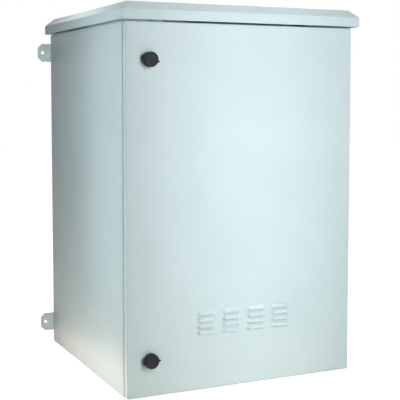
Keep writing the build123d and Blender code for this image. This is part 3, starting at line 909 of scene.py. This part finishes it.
@dataclass
class CoverCap:
    """Flip-up dust cover of a lock: a round cap with a straight hinge side, a thumb nub and a knuckle."""

    name: str
    body: Body
    node: str
    lock: tuple
    roll_degrees: float
    bottom: float = 0.0079
    thickness: float = 0.005
    radius: float = 0.0175
    straight: float = 0.0137
    edge: float = 0.0012
    dish: float = 0.0005
    axis_out: float = 0.0165
    axis_height: float = 0.0103
    knuckle_radius: float = 0.002
    knuckle_length: float = 0.008
    nub_reach: float = 0.0046
    nub_height: float = 0.003
    nub_root: float = 0.001
    nub_ease: float = 0.0005
    foot_ease: float = 0.0003
    web_ease: float = 0.0003
    web_short: float = 0.0001
    web_root: float = 0.001

    def place(self) -> Place:
        """Local axes: a towards the nub, n out of the door."""
        turn = math.radians(self.roll_degrees)
        across = (math.cos(turn), 0.0, math.sin(turn))
        upwards = (-math.sin(turn), 0.0, math.cos(turn))
        return Place(self.lock, across, upwards, (0.0, -1.0, 0.0))

    def cap(self, shell: Shell, place: Place) -> None:
        """Cap as a function of the angle and of the way from the foot over the edge to the middle.

        The rim's distance is the radius, or the straight side's distance over the cosine where that is
        less. The way goes up the side, round the edge and over a shallow dish with a raised ring.
        """
        angle = np.linspace(0.0, 2 * np.pi, 97)[:-1]
        facing = np.maximum(-np.cos(angle), 1e-6)
        rim = np.minimum(self.radius, self.straight / facing)
        turn = np.linspace(0.0, np.pi / 2, 5)
        inset = np.concatenate([[self.foot_ease, 0.0], self.edge * (1 - np.cos(turn))])
        height = np.concatenate([[0.0, self.foot_ease], self.thickness - self.edge * (1 - np.sin(turn))])
        face_shares = np.array([0.93, 0.90, 0.86, 0.80, 0.5, 0.15])
        dish_shares = np.array([0.0, 0.5, 1.0, 1.0, 0.6, 0.5])
        sides = rim[None, :] - inset[:, None]
        face = (rim[None, :] - self.edge) * face_shares[:, None]
        distance = np.concatenate([sides, face])
        level = np.concatenate([height, self.thickness - dish_shares * self.dish])
        flat = np.stack([distance * np.cos(angle), distance * np.sin(angle)], axis=-1)
        shell.closed(place.put(flat, (self.bottom + level)[:, None]))

    def rod(self, shell: Shell, place: Place) -> None:
        """Knuckle: a circle carried along the hinge axis, drawn in at both ends, with a web to the cap."""
        angle = np.linspace(0.0, 2 * np.pi, 25)[:-1]
        along = np.array([-0.5, -0.47, 0.47, 0.5]) * self.knuckle_length
        size = np.array([0.9, 1.0, 1.0, 0.9]) * self.knuckle_radius
        a = -self.axis_out + size[:, None] * np.cos(angle)
        b = np.broadcast_to(along[:, None], a.shape)
        n = self.axis_height + size[:, None] * np.sin(angle)
        shell.closed(place.put(np.stack([a, b], axis=-1), n), flip=True)
        loop = Loop.of(3)
        web_height = np.array([self.axis_height, self.axis_height + self.knuckle_radius])
        reach = (self.axis_out - self.straight + self.web_root) / 2
        half_length = self.knuckle_length / 2 - self.web_short - self.web_ease
        rings = loop.points(np.full(2, reach - self.web_ease), half_length, self.web_ease)
        rings = rings + np.array([-self.axis_out + reach, 0.0])
        shell.closed(place.put(rings, web_height[:, None]))

    def nub(self, shell: Shell, place: Place) -> None:
        """Thumb nub: a rounded rectangle carried outwards from the rim, narrower and lower at its tip."""
        way = np.array([0.0, 0.35, 0.7, 0.92, 1.0])
        wide = np.array([0.0030, 0.0026, 0.0019, 0.0015, 0.0011])
        tall = np.array([1.0, 1.0, 0.96, 0.84, 0.6]) * self.nub_height / 2
        loop = Loop.of(3)
        section = loop.points(wide - self.nub_ease, tall - self.nub_ease, self.nub_ease)
        out = self.radius - self.nub_root + way * (self.nub_reach + self.nub_root)
        a = np.broadcast_to(out[:, None], section.shape[:2])
        flat = np.stack([a, section[..., 0]], axis=-1)
        shell.closed(place.put(flat, self.bottom + self.nub_height / 2 + section[..., 1]))

    def build(self, finishes: Finishes) -> None:
        """Makes the cover as one piece."""
        place = self.place()
        shell = Shell()
        self.cap(shell, place)
        self.rod(shell, place)
        self.nub(shell, place)
        piece = shell.object(self.name)
        finishes.dress(piece, self.body, Slot.PLASTIC, self.node)


@dataclass
class Fasteners:
    """Screws of the lock cams and the cable entry plates, and earth studs on the base and the door."""

    flats: float = 0.010
    head_height: float = 0.0034
    washer_radius: float = 0.0066
    washer_thickness: float = 0.0009
    washer_ease: float = 0.00025
    washer_middle: float = 0.002
    chamfer: tuple = (0.0007, 0.0005)
    head_middle: float = 0.0015
    nut_height: float = 0.0046
    stud_radius: float = 0.0029
    stud_length: float = 0.0205
    thread_pitch: float = 0.001
    thread_depth: float = 0.0004
    tip_length: float = 0.0012
    tip_insets: tuple = ((0.0002, 0.0009), (0.0011, 0.0))
    tip_middle: float = 0.0006
    sharp_degrees: float = 30.0
    cam_screws: tuple = (
        ("upper", Body.UPPER_LOCK, (LOCK_X, -0.2825, UPPER_LOCK_Z)),
        ("lower", Body.LOWER_LOCK, (LOCK_X, -0.2825, LOWER_LOCK_Z)),
    )
    entry_screws: tuple = tuple((x, y, 0.0055) for x in (-0.143, 0.0, 0.143) for y in (0.1380, 0.2570))
    base_stud: tuple = (0.0, -0.1775, 0.0015)
    door_stud: tuple = (0.0, -0.311, 0.062)

    def turned(self, shell: Shell, place: Place, profile: np.ndarray, sides: int) -> None:
        """Carries a profile of radius and height round an axis.

        A point is the radius times the cosine and the sine of the angle, at the profile's height.

        Args:
            shell: Shell that takes the form.
            place: Local axes, with n along the axis.
            profile: Array of radii and heights, from the foot up.
            sides: Parts of the full turn.
        """
        angle = np.linspace(0.0, 2 * np.pi, sides, endpoint=False) + np.pi / sides
        flat = profile[:, :1, None] * np.stack([np.cos(angle), np.sin(angle)], axis=-1)
        left_handed = float(np.dot(np.cross(place.a, place.b), place.n)) < 0.0
        shell.closed(place.put(flat, profile[:, 1:]), flip=left_handed)

    def washer(self, shell: Shell, place: Place, foot: float) -> float:
        """Adds a washer with eased edges on a foot height, and returns the height of its top."""
        top = foot + self.washer_thickness
        r, ease = self.washer_radius, self.washer_ease
        profile = np.array([(r, foot), (r, top - ease), (r - ease, top), (self.washer_middle, top)])
        self.turned(shell, place, profile, 40)
        return top

    def hexagon(self, shell: Shell, place: Place, foot: float, height: float) -> float:
        """Adds a six-sided head or nut with a chamfered top, and returns the height of its top."""
        corner = self.flats / math.sqrt(3.0)
        top = foot + height
        inward, down = self.chamfer
        rim = [(corner, foot), (corner, top - down), (corner - inward, top), (self.head_middle, top)]
        self.turned(shell, place, np.array(rim), 6)
        return top

    def thread(self, shell: Shell, place: Place, foot: float, top: float) -> None:
        """Adds a threaded stud: its radius rises and falls once per pitch, and its tip is pointed off."""
        height = np.arange(foot, top - self.tip_length, self.thread_pitch / 2)
        radius = self.stud_radius - self.thread_depth * (np.arange(len(height)) % 2)
        tip = [(self.stud_radius - inward, top - down) for inward, down in self.tip_insets]
        tip.append((self.tip_middle, top))
        self.turned(shell, place, np.concatenate([np.stack([radius, height], axis=-1), tip]), 28)

    def screw(self, shell: Shell, place: Place) -> None:
        """Adds a screw's head on its washer."""
        self.hexagon(shell, place, self.washer(shell, place, 0.0), self.head_height)

    def plated(self, shell: Shell, name: str, body: Body, finishes: Finishes) -> None:
        """Makes a zinc-plated piece of a shell, on a body."""
        piece = shell.object(name, self.sharp_degrees)
        finishes.dress(piece, body, Slot.ZINC_FASTENER)

    def stud(self, name: str, place: Place, body: Body, finishes: Finishes) -> None:
        """Makes an earth stud with two washers and two nuts.

        Args:
            name: Name of the piece.
            place: Local axes, with n along the stud.
            body: Body that it is welded to.
            finishes: The cabinet's finishes.
        """
        shell = Shell()
        self.thread(shell, place, 0.0, self.stud_length)
        top = self.hexagon(shell, place, self.washer(shell, place, 0.0), self.nut_height)
        self.hexagon(shell, place, self.washer(shell, place, top), self.nut_height)
        self.plated(shell, name, body, finishes)

    def build(self, finishes: Finishes) -> None:
        """Makes the cam screws, the entry plate screws and both earth studs."""
        for name, body, spot in self.cam_screws:
            shell = Shell()
            self.screw(shell, inward(spot))
            self.plated(shell, f"cam_screw_{name}", body, finishes)
        shell = Shell()
        for spot in self.entry_screws:
            self.screw(shell, upright(spot))
        self.plated(shell, "entry_plate_screws", Body.CABINET, finishes)
        self.stud("earth_stud_base", upright(self.base_stud), Body.CABINET, finishes)
        self.stud("earth_stud_door", inward(self.door_stud), Body.DOOR, finishes)


@dataclass
class CarriedNodes:
    """CAD nodes that are shown as they are, each with the finish of its record slot."""

    nodes: dict[str, bpy.types.Object]
    slots: dict[str, str]

    def dress(self, finishes: Finishes) -> None:
        """Gives every node the material of its slot."""
        for name, node in self.nodes.items():
            node.data.materials.clear()
            node.data.materials.append(finishes.by_slot[Slot(self.slots[name])])
        LOG.info("dressed %d CAD nodes", len(self.nodes))


# Studio


@dataclass(frozen=True)
class SoftBox:
    """Rectangular soft lamp that points at a target."""

    name: str
    place: tuple
    target: tuple
    size: tuple
    watts: float
    colour: tuple = (1.0, 1.0, 1.0)
    spread_degrees: float = 180.0

    def build(self) -> None:
        """Makes the lamp, out of the camera's sight."""
        lamp = bpy.data.lights.new(self.name, "AREA")
        lamp.shape = "RECTANGLE"
        lamp.size, lamp.size_y = self.size
        lamp.energy = self.watts
        lamp.color = self.colour
        lamp.spread = math.radians(self.spread_degrees)
        holder = bpy.data.objects.new(self.name, lamp)
        holder.location = self.place
        towards = Vector(self.target) - Vector(self.place)
        holder.rotation_euler = towards.to_track_quat("-Z", "Y").to_euler()
        holder.visible_camera = False
        bpy.context.scene.collection.objects.link(holder)


@dataclass
class Studio:
    """Floor, lamps, world and camera.

    The lamps stand for a light tent: strips in front and at the left, light off the floor, light over and
    under the hood, and weaker light for the sides that the camera doesn't show.
    """

    camera_place: tuple = (-1.05089, -2.31668, 0.69741)
    yaw_degrees: float = 24.99
    pitch_degrees: float = -3.85
    lens: float = 85.37
    shift_y: float = -0.10
    sensor_width: float = 36.0
    far_clip: float = 100.0
    floor_half: float = 9.0
    floor_drop: float = 0.0006
    fill: float = 0.05
    fill_colour: tuple = (0.96, 0.99, 1.0)
    lamps: tuple = (
        SoftBox(
            "front_strip", (0.04, -0.95, 0.60), (0.04, -0.30, 0.60), (0.20, 1.24),
            2.15, (0.98, 0.99, 1.0),
        ),
        SoftBox(
            "front_near", (0.01, -0.72, 0.60), (0.01, -0.30, 0.60), (0.12, 1.16),
            1.24, (0.965, 0.93, 1.0),
        ),
        SoftBox(
            "front_right", (0.62, -0.80, 0.70), (0.36, -0.30, 0.70), (0.16, 1.10), 0.12, (0.5, 0.7, 1.0)
        ),
        SoftBox(
            "front_high", (0.45, -1.60, 1.15), (0.06, -0.30, 0.45), (0.60, 0.60),
            7.5, (0.965, 1.0, 0.97),
        ),
        SoftBox(
            "louvre_rake", (0.04, -0.56, 1.35), (0.04, -0.312, 0.22), (0.30, 0.06),
            0.05, spread_degrees=24.0,
        ),
        SoftBox(
            "hood_front", (0.00, -0.37, 1.60), (0.00, -0.32, 0.90), (0.60, 0.08),
            0.085, (1.0, 0.92, 0.82), 40.0,
        ),
        SoftBox(
            "hood_left", (-0.37, 0.00, 1.60), (-0.31, 0.00, 0.90), (0.08, 0.50),
            0.32, (0.95, 1.0, 0.92), 40.0,
        ),
        # stands for the light that reaches the roof space from behind in the photograph
        SoftBox("under_hood", (-0.13, 0.00, 0.872), (-0.13, 0.00, 0.90), (0.25, 0.45), 0.18),
        SoftBox(
            "left_edge", (-0.62, -0.30, 0.58), (-0.30, -0.27, 0.56), (0.03, 1.06),
            1.29, (0.955, 0.985, 1.0),
        ),
        SoftBox(
            "left_near", (-0.52, -0.12, 0.60), (-0.30, -0.14, 0.60), (0.04, 0.95),
            0.28, (0.71, 0.93, 1.0),
        ),
        SoftBox(
            "left_rear", (-0.375, -0.28, 0.48), (-0.355, 0.29, 0.48), (0.06, 0.80),
            0.16, (1.0, 1.0, 0.92), 30.0,
        ),
        SoftBox(
            "floor_left", (-0.39, -0.05, 0.010), (-0.30, -0.05, 0.012), (0.55, 0.012),
            0.16, (1.0, 0.75, 0.60),
        ),
        SoftBox(
            "floor_front", (-0.04, -0.42, 0.010), (-0.04, -0.30, 0.013), (0.60, 0.012),
            0.022, (1.0, 0.60, 0.1),
        ),
        SoftBox(
            "above", (0.00, 0.10, 1.95), (0.00, 0.10, 0.90), (0.50, 0.50), 1.0, spread_degrees=70.0
        ),
        SoftBox("right_side", (1.50, 0.42, 0.75), (0.30, 0.05, 0.45), (1.10, 1.10), 8.0),
        SoftBox("behind", (0.60, 1.85, 0.85), (0.05, 0.29, 0.45), (1.10, 1.10), 10.0),
    )

    def floor(self) -> None:
        """Makes the floor as a wide flat grid."""
        span = np.linspace(-self.floor_half, self.floor_half, 7)
        x, y = np.meshgrid(span, span)
        shell = Shell()
        shell.grid(np.stack([x, y, np.full_like(x, -self.floor_drop)], axis=-1))
        ground = shell.object("floor")
        ground.data.materials.append(StudioFloor().material())

    def world(self) -> None:
        """Makes a plain world: white to the rays that show it, and a soft fill for the rest."""
        graph = Graph.new(bpy.data.worlds.new("studio"))
        white = graph.add("ShaderNodeBackground", Color=(1.0, 1.0, 1.0, 1.0))
        soft = graph.add("ShaderNodeBackground", Color=(*self.fill_colour, 1.0), Strength=self.fill)
        mix = graph.add("ShaderNodeMixShader")
        graph.join(graph.shown(), mix.inputs[0])
        graph.join(soft.outputs[0], mix.inputs[1])
        graph.join(white.outputs[0], mix.inputs[2])
        bpy.context.scene.world = graph.finish(mix)

    def camera(self) -> None:
        """Makes the camera: turned to the right of +Y by the yaw, and down by the pitch."""
        yaw, pitch = math.radians(self.yaw_degrees), math.radians(self.pitch_degrees)
        level = math.cos(pitch)
        forward = Vector((math.sin(yaw) * level, math.cos(yaw) * level, math.sin(pitch)))
        right = Vector((math.cos(yaw), -math.sin(yaw), 0.0))
        up = right.cross(forward)
        data = bpy.data.cameras.new("camera")
        data.lens = self.lens
        data.sensor_width = self.sensor_width
        data.shift_y = self.shift_y
        data.clip_end = self.far_clip
        holder = bpy.data.objects.new("camera", data)
        turn = Matrix((right, up, -forward)).transposed().to_4x4()
        holder.matrix_world = Matrix.Translation(Vector(self.camera_place)) @ turn
        bpy.context.scene.collection.objects.link(holder)
        bpy.context.scene.camera = holder

    def build(self) -> None:
        """Makes the whole studio and sets the plain view transform."""
        self.floor()
        self.world()
        for lamp in self.lamps:
            lamp.build()
        self.camera()
        bpy.context.scene.view_settings.view_transform = "Standard"


def main() -> None:
    """Loads the frame, dresses its nodes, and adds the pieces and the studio."""
    logging.basicConfig(level=logging.INFO, format="%(name)s: %(message)s")
    for item in list(bpy.data.objects):
        bpy.data.objects.remove(item)
    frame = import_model()
    finishes = Finishes.build()
    slots = {part["node"]: part["material_slot"] for part in frame["record"]["subparts"]}
    CarriedNodes(frame["nodes"], slots).dress(finishes)
    DoorSkin().build(finishes)
    RainHood().build(finishes)
    Seals().build(finishes)
    upper_lock, lower_lock = (LOCK_X, DOOR_FRONT, UPPER_LOCK_Z), (LOCK_X, DOOR_FRONT, LOWER_LOCK_Z)
    CoverCap("cover_cap_upper", Body.UPPER_COVER, "dust_cover_upper", upper_lock, -14.0).build(finishes)
    CoverCap("cover_cap_lower", Body.LOWER_COVER, "dust_cover_lower", lower_lock, 0.0).build(finishes)
    Fasteners().build(finishes)
    Studio().build()


if __name__ == "__main__":
    main()
